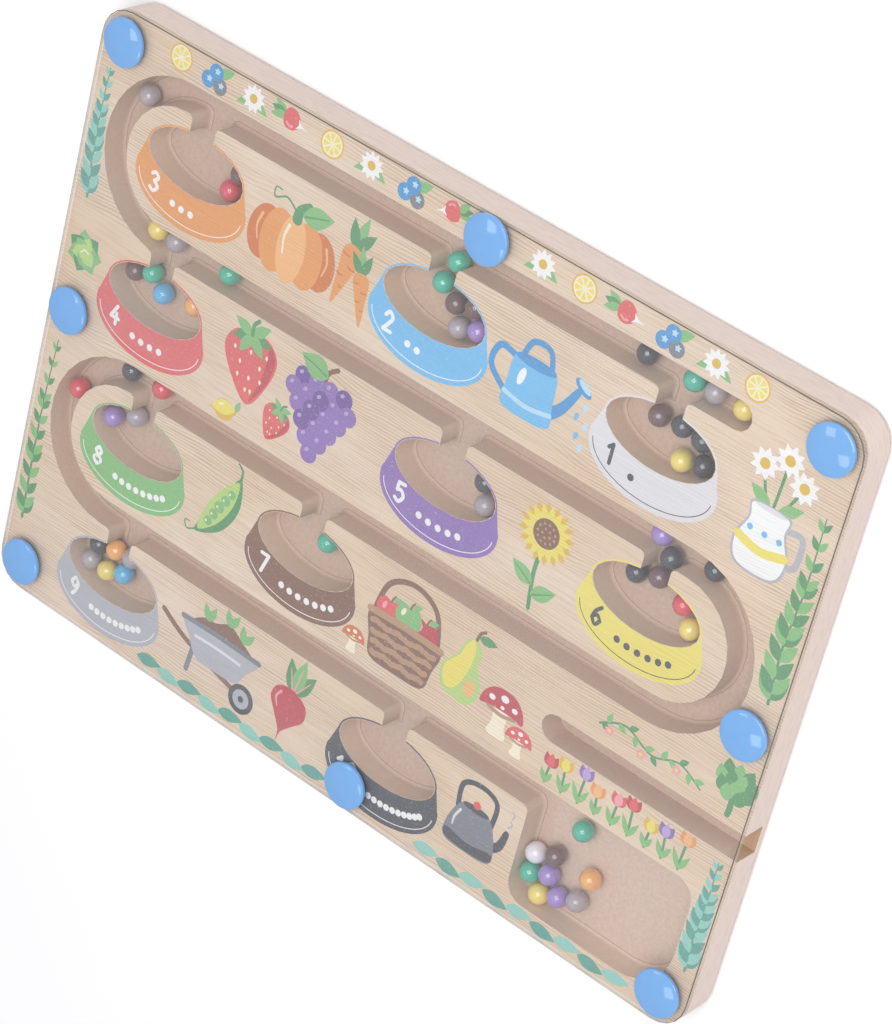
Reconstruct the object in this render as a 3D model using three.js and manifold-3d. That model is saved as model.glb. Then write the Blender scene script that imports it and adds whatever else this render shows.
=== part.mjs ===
// Magnetic bead maze: a routed wooden board under a clear cover, with loose beads in its track.
// Millimetres. The board lies on its back: +Z points out of its face, +X runs along its long side
// and +Y to its top edge. The origin is the middle of the back.
import * as THREE from "three";
import { mergeVertices } from "three/addons/utils/BufferGeometryUtils.js";
import Module from "manifold-3d";

const wasm = await Module();
wasm.setup();

// Board and cover
const BOARD_LENGTH = 300;
const BOARD_WIDTH = 217;
const BOARD_THICKNESS = 13;
const CORNER_RADIUS = 11;
const BACK_EDGE_ROUND = 1.5;
const COVER_THICKNESS = 2;
const COVER_EDGE_ROUND = 0.3;
const FIT_GAP = 0.2; // left between pieces that touch

// Beads, and the track that is routed to suit them
const BEAD_DIAMETER = 7.2;
const BEAD_GAP = 0.3; // between beads that lie side by side
const TRACK_PLAY = 1.2; // from a bead in the middle of the track to each wall
const TRACK_HEADROOM = 1.8; // from a bead on the floor to the board's face
const FLOOR_FILLET = 1.2;

// Rows of the track, joined end to end by half-round turns
const ROW_COUNT = 4;
const TOP_TO_FIRST_ROW = 17.6;
const BOTTOM_TO_LAST_ROW = 45.5;
const LEFT_TO_TURN = 8;
const RIGHT_TO_TURN = 13.5;
const RIGHT_TO_FIRST_ROW_END = 38.5;

// Oval bowls that hang from the rows by short necks
const BOWL_PITCHES_LONG = 4.45; // travel of a bead's middle along a bowl, in bead pitches
const BOWL_PITCHES_WIDE = 1.75;
const NECK_PLAY = 1.5;
const NECK_LENGTH = 5.35;
const NECK_ROUND = 1.6;
const LEFT_TO_ORANGE_BOWL = 46.3;
const MIDDLE_TO_BLUE_BOWL = -3.6;
const RIGHT_TO_WHITE_BOWL = 65.6;
const LEFT_TO_RED_BOWL = 41.4;
const MIDDLE_TO_PURPLE_BOWL = 16;
const RIGHT_TO_YELLOW_BOWL = 54.6;
const LEFT_TO_GREEN_BOWL = 46.4;
const MIDDLE_TO_BROWN_BOWL = -28.2;
const LEFT_TO_GRAY_BOWL = 47.9;
const MIDDLE_TO_BLACK_BOWL = 21.6;

// Tray at the end of the last row
const TRAY_LENGTH = 63.3;
const TRAY_WIDTH = 43.8;
const RIGHT_TO_TRAY = 10.2;
const TRAY_CORNER = 7;
const TRAY_STUD_CORNER = 18; // the corner that goes round a stud
const TRAY_MOUTH_ROUND = 2.5;

// Slot for a pen, open through the right side
const PEN_SLOT_LENGTH = 77.5;
const PEN_SLOT_WIDTH = 9.7;
const PEN_SLOT_DEPTH = 9.5;

// Push-in studs that hold the cover
const STUD_HEAD_DIAMETER = 16.4;
const STUD_RIM_HEIGHT = 1;
const STUD_DOME_HEIGHT = 1.2;
const STUD_SHANK_DIAMETER = 3.8;
const STUD_SHANK_IN_BOARD = 6;
const STUD_TIP_TAPER = 0.8;
const STUD_HOLE_SPARE = 1; // left under the tip
const STUD_CORNER_INSET = 10.5;
const STUD_SIDE_INSET = 9.3;
const STUD_TOP_INSET = 7.2;
const STUD_BOTTOM_INSET = 9.1;
const STUD_MIDDLE_X = 10.5;

// Fineness of the facets
const CHORD_ERROR = 0.17;
const HOLE_SIDES = 12;
const STUD_SIDES = 16;
const DOME_STEPS = 3;
const BEAD_DETAIL = 2;

// Sizes that follow
const LEFT = -BOARD_LENGTH / 2;
const RIGHT = BOARD_LENGTH / 2;
const TOP = BOARD_WIDTH / 2;
const BOTTOM = -BOARD_WIDTH / 2;
const COVER_BACK = BOARD_THICKNESS + FIT_GAP;
const COVER_FACE = COVER_BACK + COVER_THICKNESS;

const BEAD_RADIUS = BEAD_DIAMETER / 2;
const BEAD_PITCH = BEAD_DIAMETER + BEAD_GAP;
const TRACK_WIDTH = BEAD_DIAMETER + 2 * TRACK_PLAY;
const TRACK_HALF = TRACK_WIDTH / 2;
const TRACK_DEPTH = BEAD_DIAMETER + TRACK_HEADROOM;
const TRACK_FLOOR = BOARD_THICKNESS - TRACK_DEPTH;
const BEAD_Z = TRACK_FLOOR + FIT_GAP + BEAD_RADIUS;

const ROW_PITCH = (BOARD_WIDTH - TOP_TO_FIRST_ROW - BOTTOM_TO_LAST_ROW) / (ROW_COUNT - 1);
const ROW_Y = Array.from({ length: ROW_COUNT }, (_, row) => TOP - TOP_TO_FIRST_ROW - row * ROW_PITCH);
const FIRST_ROW_END = RIGHT - RIGHT_TO_FIRST_ROW_END;
const TURN_RADIUS = ROW_PITCH / 2;
const TURN_OUTSIDE = TURN_RADIUS + TRACK_HALF;
const TURN_INSIDE = TURN_RADIUS - TRACK_HALF;
const LEFT_TURN_X = LEFT + LEFT_TO_TURN + TURN_OUTSIDE;
const RIGHT_TURN_X = RIGHT - RIGHT_TO_TURN - TURN_OUTSIDE;
const TURNS = {
  upperLeft: { x: LEFT_TURN_X, y: (ROW_Y[0] + ROW_Y[1]) / 2 },
  right: { x: RIGHT_TURN_X, y: (ROW_Y[1] + ROW_Y[2]) / 2 },
  lowerLeft: { x: LEFT_TURN_X, y: (ROW_Y[2] + ROW_Y[3]) / 2 },
};

const BOWL_LENGTH = BOWL_PITCHES_LONG * BEAD_PITCH + BEAD_DIAMETER;
const BOWL_WIDTH = BOWL_PITCHES_WIDE * BEAD_PITCH + BEAD_DIAMETER;
const NECK_HALF = BEAD_RADIUS + NECK_PLAY;
const BOWL_DROP = TRACK_HALF + NECK_LENGTH + BOWL_WIDTH / 2;
const BOWLS = {
  orange: { row: 0, x: LEFT + LEFT_TO_ORANGE_BOWL },
  blue: { row: 0, x: MIDDLE_TO_BLUE_BOWL },
  white: { row: 0, x: RIGHT - RIGHT_TO_WHITE_BOWL },
  red: { row: 1, x: LEFT + LEFT_TO_RED_BOWL },
  purple: { row: 1, x: MIDDLE_TO_PURPLE_BOWL },
  yellow: { row: 1, x: RIGHT - RIGHT_TO_YELLOW_BOWL },
  green: { row: 2, x: LEFT + LEFT_TO_GREEN_BOWL },
  brown: { row: 2, x: MIDDLE_TO_BROWN_BOWL },
  gray: { row: 3, x: LEFT + LEFT_TO_GRAY_BOWL },
  black: { row: 3, x: MIDDLE_TO_BLACK_BOWL },
};

const TRAY = {
  left: RIGHT - RIGHT_TO_TRAY - TRAY_LENGTH,
  right: RIGHT - RIGHT_TO_TRAY,
  top: ROW_Y[3] + TRACK_HALF,
  bottom: ROW_Y[3] + TRACK_HALF - TRAY_WIDTH,
};

const STUDS = {
  stud_top_left: [LEFT + STUD_CORNER_INSET, TOP - STUD_CORNER_INSET],
  stud_top_middle: [STUD_MIDDLE_X, TOP - STUD_TOP_INSET],
  stud_top_right: [RIGHT - STUD_CORNER_INSET, TOP - STUD_CORNER_INSET],
  stud_middle_left: [LEFT + STUD_SIDE_INSET, 0],
  stud_middle_right: [RIGHT - STUD_SIDE_INSET, 0],
  stud_bottom_left: [LEFT + STUD_CORNER_INSET, BOTTOM + STUD_CORNER_INSET],
  stud_bottom_middle: [STUD_MIDDLE_X, BOTTOM + STUD_BOTTOM_INSET],
  stud_bottom_right: [RIGHT - STUD_CORNER_INSET, BOTTOM + STUD_CORNER_INSET],
};
const STUD_SHANK_RADIUS = STUD_SHANK_DIAMETER / 2;
const STUD_HOLE_RADIUS = STUD_SHANK_RADIUS + FIT_GAP;

// Finishes
const finish = (color, roughness) => new THREE.MeshStandardMaterial({ color, roughness, metalness: 0 });
const WOOD = finish(0xe1cdb4, 0.6);
const CLEAR = new THREE.MeshStandardMaterial({
  color: 0xf4f6f8,
  roughness: 0.08,
  metalness: 0,
  transparent: true,
  opacity: 0.25,
});
const STUD_BLUE = finish(0x6fa8ea, 0.25);
const BEAD_FINISHES = {
  white: finish(0xe6e2e8, 0.3),
  blue: finish(0x3f93d2, 0.3),
  orange: finish(0xf5924a, 0.3),
  red: finish(0xc8333f, 0.3),
  purple: finish(0x8f72c4, 0.3),
  yellow: finish(0xe8cc4a, 0.3),
  brown: finish(0x5f4540, 0.3),
  green: finish(0x2fa37a, 0.3),
  gray: finish(0x8f878c, 0.3),
  black: finish(0x35353a, 0.3),
};

// Points along a circle or an ellipse. No chord strays from the curve by more than CHORD_ERROR.
function arc(x, y, radiusX, radiusY, from, to) {
  const step = 2 * Math.acos(1 - CHORD_ERROR / Math.max(radiusX, radiusY));
  const count = Math.max(2, Math.ceil(Math.abs(to - from) / step));
  const points = [];
  for (let i = 0; i <= count; i++) {
    const angle = from + ((to - from) * i) / count;
    points.push(new THREE.Vector2(x + radiusX * Math.cos(angle), y + radiusY * Math.sin(angle)));
  }
  return points;
}

const QUARTER = Math.PI / 2;
const round = (x, y, radius, from, to) => arc(x, y, radius, radius, from * QUARTER, to * QUARTER);

// A manifold solid from a three.js geometry, and the way back
function solid(geometry) {
  const bare = geometry.clone();
  bare.deleteAttribute("normal");
  bare.deleteAttribute("uv");
  const merged = mergeVertices(bare, 1e-4);
  return new wasm.Manifold(
    new wasm.Mesh({
      numProp: 3,
      vertProperties: merged.attributes.position.array,
      triVerts: new Uint32Array(merged.index.array),
    }),
  );
}

function geometryOf(manifold) {
  const mesh = manifold.getMesh();
  const geometry = new THREE.BufferGeometry();
  geometry.setAttribute("position", new THREE.BufferAttribute(mesh.vertProperties, mesh.numProp));
  geometry.setIndex(new THREE.BufferAttribute(mesh.triVerts, 1));
  const flat = geometry.toNonIndexed();
  flat.computeVertexNormals();
  return flat;
}

// A prism with its outline true between z = from and z = to, and its edges rounded inside that
function prism(shape, from, to, edge = 0) {
  const geometry = new THREE.ExtrudeGeometry(shape, {
    depth: to - from - 2 * edge,
    bevelEnabled: edge > 0,
    bevelThickness: edge,
    bevelSize: edge,
    bevelOffset: -edge,
    bevelSegments: 1,
  });
  return geometry.translate(0, 0, from + edge);
}

function boardOutline() {
  const x = RIGHT - CORNER_RADIUS;
  const y = TOP - CORNER_RADIUS;
  return [
    ...round(x, y, CORNER_RADIUS, 0, 1),
    ...round(-x, y, CORNER_RADIUS, 1, 2),
    ...round(-x, -y, CORNER_RADIUS, 2, 3),
    ...round(x, -y, CORNER_RADIUS, 3, 4),
  ];
}

const rowEdge = (row) => ROW_Y[row] - TRACK_HALF;
const bowlY = (bowl) => ROW_Y[bowl.row] - BOWL_DROP;

const bowlsIn = (row) => Object.values(BOWLS).filter((bowl) => bowl.row === row);

// The lower edge of a row leaves the row at each neck, goes round the bowl and comes back
function bowlsOf(row) {
  const points = [];
  const edge = rowEdge(row) - NECK_ROUND;
  const start = Math.acos((-2 * NECK_HALF) / BOWL_LENGTH);
  for (const bowl of bowlsIn(row)) {
    points.push(
      ...round(bowl.x - NECK_HALF - NECK_ROUND, edge, NECK_ROUND, 1, 0),
      ...arc(bowl.x, bowlY(bowl), BOWL_LENGTH / 2, BOWL_WIDTH / 2, start, 3 * Math.PI - start),
      ...round(bowl.x + NECK_HALF + NECK_ROUND, edge, NECK_ROUND, 2, 1),
    );
  }
  return points;
}

function trayCorners() {
  return [
    ...round(TRAY.left - TRAY_MOUTH_ROUND, rowEdge(3) - TRAY_MOUTH_ROUND, TRAY_MOUTH_ROUND, 1, 0),
    ...round(TRAY.left + TRAY_CORNER, TRAY.bottom + TRAY_CORNER, TRAY_CORNER, 2, 3),
    ...round(TRAY.right - TRAY_STUD_CORNER, TRAY.bottom + TRAY_STUD_CORNER, TRAY_STUD_CORNER, 3, 4),
    ...round(TRAY.right - TRAY_CORNER, TRAY.top - TRAY_CORNER, TRAY_CORNER, 0, 1),
  ];
}

// Where a left turn ends, in quarter turns: at the row below it, or sooner where a neck opens into the turn
function turnEnd(turn, row) {
  const neck = Math.min(...bowlsIn(row).map((bowl) => bowl.x)) - NECK_HALF - 2 * NECK_ROUND;
  return 3 - Math.asin(Math.max(0, turn.x - neck) / TURN_OUTSIDE) / QUARTER;
}

// One walk round the whole track: along the rows, through the turns, into every bowl and the tray
function trackOutline() {
  const outside = (turn, from, to) => round(turn.x, turn.y, TURN_OUTSIDE, from, to);
  const inside = (turn, from, to) => round(turn.x, turn.y, TURN_INSIDE, from, to);
  return [
    ...round(FIRST_ROW_END - TRACK_HALF, ROW_Y[0], TRACK_HALF, -1, 1),
    ...outside(TURNS.upperLeft, 1, turnEnd(TURNS.upperLeft, 1)),
    ...bowlsOf(1),
    ...inside(TURNS.right, 1, -1),
    ...outside(TURNS.lowerLeft, 1, turnEnd(TURNS.lowerLeft, 3)),
    ...bowlsOf(3),
    ...trayCorners(),
    ...inside(TURNS.lowerLeft, -1, -3),
    ...bowlsOf(2),
    ...outside(TURNS.right, -1, 1),
    ...inside(TURNS.upperLeft, -1, -3),
    ...bowlsOf(0),
  ];
}

function penSlotOutline() {
  const half = PEN_SLOT_WIDTH / 2;
  const y = (ROW_Y[2] + ROW_Y[3]) / 2;
  const past = RIGHT + CORNER_RADIUS;
  return [
    new THREE.Vector2(past, y + half),
    ...round(RIGHT - PEN_SLOT_LENGTH + half, y, half, 1, 3),
    new THREE.Vector2(past, y - half),
  ];
}

// A blank with rounded back edges, its face trimmed flat, then the track, pen slot and stud holes cut
function mazeBoard() {
  const above = BOARD_THICKNESS + TRACK_DEPTH;
  const cutter = (outline, from, edge) => solid(prism(new THREE.Shape(outline), from, above, edge));
  let board = solid(prism(new THREE.Shape(boardOutline()), 0, above, BACK_EDGE_ROUND));
  const face = new THREE.BoxGeometry(2 * BOARD_LENGTH, 2 * BOARD_WIDTH, 2 * TRACK_DEPTH);
  board = board.subtract(solid(face.translate(0, 0, BOARD_THICKNESS + TRACK_DEPTH)));
  board = board.subtract(cutter(trackOutline(), TRACK_FLOOR, FLOOR_FILLET));
  board = board.subtract(cutter(penSlotOutline(), BOARD_THICKNESS - PEN_SLOT_DEPTH));
  const depth = STUD_SHANK_IN_BOARD + STUD_HOLE_SPARE;
  for (const [x, y] of Object.values(STUDS)) {
    const hole = new THREE.CylinderGeometry(STUD_HOLE_RADIUS, STUD_HOLE_RADIUS, 2 * depth, HOLE_SIDES);
    board = board.subtract(solid(hole.rotateX(QUARTER).translate(x, y, BOARD_THICKNESS)));
  }
  return geometryOf(board);
}

function clearCover() {
  const shape = new THREE.Shape(boardOutline());
  for (const [x, y] of Object.values(STUDS)) {
    const hole = [];
    for (let i = 0; i < HOLE_SIDES; i++) {
      const angle = (i * 2 * Math.PI) / HOLE_SIDES;
      hole.push(
        new THREE.Vector2(x + STUD_HOLE_RADIUS * Math.cos(angle), y + STUD_HOLE_RADIUS * Math.sin(angle)),
      );
    }
    shape.holes.push(new THREE.Path(hole));
  }
  return prism(shape, COVER_BACK, COVER_FACE, COVER_EDGE_ROUND);
}

// Half of a stud's section, from the tip of the shank up to the top of the domed head, turned round +Z
function stud() {
  const seat = COVER_FACE + FIT_GAP;
  const tip = BOARD_THICKNESS - STUD_SHANK_IN_BOARD;
  const head = STUD_HEAD_DIAMETER / 2;
  const profile = [
    new THREE.Vector2(0, tip),
    new THREE.Vector2(STUD_SHANK_RADIUS - STUD_TIP_TAPER, tip),
    new THREE.Vector2(STUD_SHANK_RADIUS, tip + STUD_TIP_TAPER),
    new THREE.Vector2(STUD_SHANK_RADIUS, seat),
    new THREE.Vector2(head, seat),
  ];
  for (let i = 0; i < DOME_STEPS; i++) {
    const angle = (i * QUARTER) / DOME_STEPS;
    const height = STUD_RIM_HEIGHT + STUD_DOME_HEIGHT * Math.sin(angle);
    profile.push(new THREE.Vector2(head * Math.cos(angle), seat + height));
  }
  profile.push(new THREE.Vector2(0, seat + STUD_RIM_HEIGHT + STUD_DOME_HEIGHT));
  return new THREE.LatheGeometry(profile, STUD_SIDES).rotateX(QUARTER);
}

// Places in the track. Distances are in bead pitches: from the middle of a bowl, its row or its neck, or
// from the tray's lower left corner.
const bowlSpot = (colour, across, up) => {
  const bowl = BOWLS[colour];
  return [bowl.x + across * BEAD_PITCH, bowlY(bowl) + up * BEAD_PITCH];
};
const rowSpot = (colour, across, up = 0) => {
  const bowl = BOWLS[colour];
  return [bowl.x + across * BEAD_PITCH, ROW_Y[bowl.row] + up * BEAD_PITCH];
};
const turnSpot = (turn, degrees) => {
  const angle = THREE.MathUtils.degToRad(degrees);
  return [TURNS[turn].x + TURN_RADIUS * Math.cos(angle), TURNS[turn].y + TURN_RADIUS * Math.sin(angle)];
};
const turnSpotBefore = (colour, turn, pitches) => {
  const x = BOWLS[colour].x - pitches * BEAD_PITCH;
  const across = Math.max(0, TURNS[turn].x - x);
  return [x, TURNS[turn].y - Math.sqrt(TURN_RADIUS ** 2 - across ** 2)];
};
const traySpot = (across, up) => [
  TRAY.left + BEAD_RADIUS + across * BEAD_PITCH,
  TRAY.bottom + BEAD_RADIUS + up * BEAD_PITCH,
];

// Each bead's colour and where it lies
const BEADS = [
  ["gray", turnSpot("upperLeft", 141)],
  ["red", bowlSpot("orange", 1.55, -0.55)],
  ["green", bowlSpot("blue", 0.2, 2)],
  ["green", bowlSpot("blue", -0.27, 0.83)],
  ["brown", bowlSpot("blue", 0.57, 0.27)],
  ["gray", bowlSpot("blue", 0.99, -0.65)],
  ["purple", bowlSpot("blue", 1.95, -0.34)],
  ["black", rowSpot("white", -1.97)],
  ["green", rowSpot("white", 0.35)],
  ["gray", rowSpot("white", 1.39)],
  ["yellow", rowSpot("white", 2.8)],
  ["brown", bowlSpot("white", -0.7, 0.55)],
  ["black", bowlSpot("white", 1.45, 0.54)],
  ["yellow", bowlSpot("white", 0.8, -0.7)],
  ["black", bowlSpot("white", 1.79, -0.42)],
  ["yellow", turnSpotBefore("red", "upperLeft", 1.1044)],
  ["gray", rowSpot("red", 0)],
  ["green", rowSpot("red", 3.13)],
  ["brown", bowlSpot("red", -1.87, 0.4)],
  ["green", bowlSpot("red", -0.93, 0.74)],
  ["blue", bowlSpot("red", -0.14, 0.1)],
  ["black", bowlSpot("purple", 1.5, 0.52)],
  ["gray", bowlSpot("purple", 1.78, -0.45)],
  ["purple", rowSpot("yellow", -0.53, 0.08)],
  ["black", bowlSpot("yellow", 0.16, 2.05)],
  ["brown", bowlSpot("yellow", -0.1, 1)],
  ["black", bowlSpot("yellow", -1.16, 0.65)],
  ["red", bowlSpot("yellow", 1.28, 0.48)],
  ["yellow", bowlSpot("yellow", 1.87, -0.35)],
  ["black", turnSpot("right", 77)],
  ["black", turnSpot("lowerLeft", 99)],
  ["red", turnSpot("lowerLeft", 162)],
  ["red", rowSpot("green", 0.23)],
  ["purple", bowlSpot("green", -2.1, 0.05)],
  ["gray", bowlSpot("green", -0.82, 0.72)],
  ["green", bowlSpot("brown", 0.57, 0.57)],
  ["black", bowlSpot("gray", -1.59, 0.56)],
  ["gray", bowlSpot("gray", -1.88, -0.4)],
  ["orange", bowlSpot("gray", -0.6, 0.78)],
  ["yellow", bowlSpot("gray", -0.87, -0.45)],
  ["blue", bowlSpot("gray", 0.1, -0.1)],
  ["green", traySpot(1.92, 4.07)],
  ["white", traySpot(0.08, 1.8)],
  ["brown", traySpot(1, 2.2)],
  ["green", traySpot(0.06, 0.78)],
  ["purple", traySpot(0.97, 1.2)],
  ["orange", traySpot(2.9, 2.18)],
  ["yellow", traySpot(0.75, 0.06)],
  ["purple", traySpot(1.66, 0.46)],
  ["gray", traySpot(2.58, 0.83)],
];

function piece(name, geometry, material) {
  const mesh = new THREE.Mesh(geometry, material);
  mesh.name = name;
  return mesh;
}

const maze = new THREE.Group();
maze.add(piece("maze_board", mazeBoard(), WOOD));
maze.add(piece("clear_cover", clearCover(), CLEAR));

for (const [name, [x, y]] of Object.entries(STUDS)) {
  const mesh = piece(name, stud(), STUD_BLUE);
  mesh.position.set(x, y, 0);
  maze.add(mesh);
}

const made = {};
for (const [colour, [x, y]] of BEADS) {
  made[colour] = (made[colour] ?? 0) + 1;
  const ball = new THREE.IcosahedronGeometry(BEAD_RADIUS, BEAD_DETAIL);
  const mesh = piece(`bead_${colour}_${made[colour]}`, ball, BEAD_FINISHES[colour]);
  mesh.position.set(x, y, BEAD_Z);
  maze.add(mesh);
}

export default maze;
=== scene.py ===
# %% [markdown]
# # A magnetic bead maze
# The toy is a pale wooden board with one long winding track routed into its face. Painted steel beads lie
# in the track, a clear sheet keeps them in, and eight blue studs hold the sheet down. A child draws the
# beads along with a magnetic pen and sorts them, by colour and by number, into ten little bowls.
#
# The solids come ready made, at their real size. This lesson dresses them: it makes finer copies of the
# pieces that show their facets, prints the face, and gives every surface a finish made of nodes.

import math
import random

import bmesh
import bpy
from mathutils import Euler, Matrix, Vector


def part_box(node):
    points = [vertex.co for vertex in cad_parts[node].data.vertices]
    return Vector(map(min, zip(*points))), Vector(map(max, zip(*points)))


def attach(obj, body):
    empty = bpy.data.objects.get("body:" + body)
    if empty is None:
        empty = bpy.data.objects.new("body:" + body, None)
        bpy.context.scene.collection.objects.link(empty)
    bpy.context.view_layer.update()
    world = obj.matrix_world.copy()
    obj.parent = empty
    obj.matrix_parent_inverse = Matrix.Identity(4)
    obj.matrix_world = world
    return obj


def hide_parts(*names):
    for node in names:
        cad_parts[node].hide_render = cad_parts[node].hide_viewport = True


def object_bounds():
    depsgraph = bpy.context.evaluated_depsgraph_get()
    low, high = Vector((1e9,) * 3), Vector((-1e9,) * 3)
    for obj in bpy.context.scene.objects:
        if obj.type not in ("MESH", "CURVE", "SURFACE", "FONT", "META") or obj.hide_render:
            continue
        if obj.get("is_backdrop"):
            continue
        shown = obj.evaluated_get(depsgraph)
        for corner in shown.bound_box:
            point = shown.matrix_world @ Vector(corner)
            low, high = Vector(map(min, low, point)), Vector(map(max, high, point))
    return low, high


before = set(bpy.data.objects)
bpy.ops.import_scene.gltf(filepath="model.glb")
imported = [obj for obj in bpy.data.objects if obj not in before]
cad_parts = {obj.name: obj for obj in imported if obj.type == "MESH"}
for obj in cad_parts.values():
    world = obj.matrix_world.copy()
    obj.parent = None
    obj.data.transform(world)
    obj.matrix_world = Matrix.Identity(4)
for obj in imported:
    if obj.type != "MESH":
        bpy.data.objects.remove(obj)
CAD_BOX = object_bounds()
MM = 0.001

# %% [markdown]
# ## Shader maths
# A finish is a small sum: so much grain, so much speckle, one colour mixed into another. Wiring Math nodes
# by hand hides that sum, so a little class wraps a socket and lets Python's operators add the nodes.
# Colours don't go through Math nodes, which would turn them grey. They go through Mix nodes instead.


# %% The socket class
class Shade:
    """A socket in a material's node tree. Operators on it add Math nodes."""

    def __init__(self, tree, socket=None):
        self.tree = tree
        self.socket = socket

    def node(self, kind, settings=None, inputs=None, out=0):
        """Any other node. Its settings are set first, and then its inputs are filled or linked."""
        made = self.tree.nodes.new("ShaderNode" + kind)
        for name, value in (settings or {}).items():
            setattr(made, name, value)
        for key, value in (inputs or {}).items():
            self.feed(made.inputs[key], value)
        return Shade(self.tree, made.outputs[out])

    def feed(self, socket, value):
        """A link from another socket, or a plain value."""
        if isinstance(value, Shade):
            self.tree.links.new(value.socket, socket)
        else:
            socket.default_value = value

    def math(self, operation, a, b=0.0):
        return self.node("Math", {"operation": operation}, {0: a, 1: b})

    def __add__(self, other):
        return self.math("ADD", self, other)

    def __sub__(self, other):
        return self.math("SUBTRACT", self, other)

    def __rsub__(self, other):
        return self.math("SUBTRACT", other, self)

    def __mul__(self, other):
        return self.math("MULTIPLY", self, other)

    __radd__ = __add__
    __rmul__ = __mul__


# %% Helpers that every finish uses
def linear(red, green, blue):
    """A colour as a screen shows it, from 0 to 255, in the even steps of light that shaders use."""
    steps = []
    for level in (red, green, blue):
        share = level / 255
        steps.append(share / 12.92 if share <= 0.04045 else ((share + 0.055) / 1.055) ** 2.4)
    return (*steps, 1.0)


def finish_named(name, **constants):
    """A material, its tree and its shader. Constants are set on the shader's own sockets."""
    made = bpy.data.materials.new(name)
    made.use_nodes = True
    shader = made.node_tree.nodes["Principled BSDF"]
    for key, value in constants.items():
        shader.inputs[key.replace("_", " ")].default_value = value
    return made, Shade(made.node_tree), shader


def spot_on(tree, stretch):
    """The place on the piece in metres, stretched along each axis."""
    here = tree.node("TexCoord", out="Object")
    return tree.node("VectorMath", {"operation": "MULTIPLY"}, {0: here, 1: stretch})


def noise_at(tree, stretch, detail=2.0):
    return tree.node("TexNoise", inputs={"Vector": spot_on(tree, stretch), "Scale": 1.0, "Detail": detail})


def steep(tree, value, low, high):
    """The part of a value between low and high, spread over 0 to 1."""
    return tree.node("MapRange", inputs={"Value": value, "From Min": low, "From Max": high})


def between(tree, low, high, share):
    """One colour mixed into another. A plain colour is given as a screen shows it."""
    low, high = (linear(*colour) if isinstance(colour, tuple) else colour for colour in (low, high))
    return tree.node("Mix", {"data_type": "RGBA"}, {0: share, 6: low, 7: high}, out=2)


def coloured(tree, shader, low, high, share):
    tree.feed(shader.inputs["Base Color"], between(tree, low, high, share))


def bumped(tree, shader, height, depth):
    bump = tree.node("Bump", inputs={"Height": height, "Distance": depth})
    tree.feed(shader.inputs["Normal"], bump)


print("shader helpers ready")

# %% [markdown]
# ## Wood
# The face is a sanded sheet of birch veneer: cream, with fine wavy tan lines that run along the board. It
# could be one wave texture, but real growth lines drift and fade. So a slow noise bends the lines, a second
# one thins them out, and a third gives the broad light and dark of the sheet. The ink takes up the same
# lines later, since thin print lets the grain show through.


# %% Grain
GRAIN_RATE = 5900
GRAIN_DRIFT = 56


def grain(tree):
    """From 0 to 1: how much of the tan line shows at each place on the face."""
    drift = noise_at(tree, (18, 50, 20))
    across = tree.node("SeparateXYZ", inputs={0: spot_on(tree, (1, 1, 1))}, out="Y")
    lines = tree.math("SINE", across * GRAIN_RATE + drift * GRAIN_DRIFT) * 0.5 + 0.5
    fading = steep(tree, noise_at(tree, (16, 60, 60)), 0.36, 0.6)
    hairs = steep(tree, noise_at(tree, (70, 2300, 200), 4.0), 0.46, 0.66)
    return lines * lines * fading * 0.62 + hairs * 0.36


face_finish, tree, shader = finish_named("birch_veneer", Roughness=0.6, Specular_IOR_Level=0.2)
streaks = grain(tree)
broad = noise_at(tree, (7, 24, 10), 3.0)
sheet = between(tree, (235, 214, 193), (227, 200, 171), steep(tree, broad, 0.3, 0.7))
coloured(tree, shader, sheet, (195, 163, 134), streaks)
bumped(tree, shader, streaks, 0.01 * MM)
print("veneer", face_finish.name, len(face_finish.node_tree.nodes), "nodes")

# %% [markdown]
# The track is cut through the veneer into fibreboard. Its floor is a warm, even brown with light and dark
# flecks of pressed fibre. A picture of real board would repeat, so two noises of different size make them.
# The walls take a paler copy of the board, which is painted light, and a thin darker strip round the floor
# is painted shade in the crease. The floors of the rows and bowls, and the foot of their walls, carry
# painted shade, a little deeper and warmer than the broad open tray. The mouth of the pen slot, where hands
# rub it, is browner. The outside is sanded smooth.


# %% Fibreboard
RECESS_SHADE_TINT = (0.875, 0.85, 0.825, 1)
SHADE_FADE_Z = (4.5, 12.5)
TRAY_X = (74, 84)
TRAY_Y = (-50, -56)
MOUTH_X = (144, 148)


def reach(tree, value, start, end):
    """From 0 to 1 as a place goes from start to end, both in millimetres."""
    return steep(tree, value, start * MM, end * MM)


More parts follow.
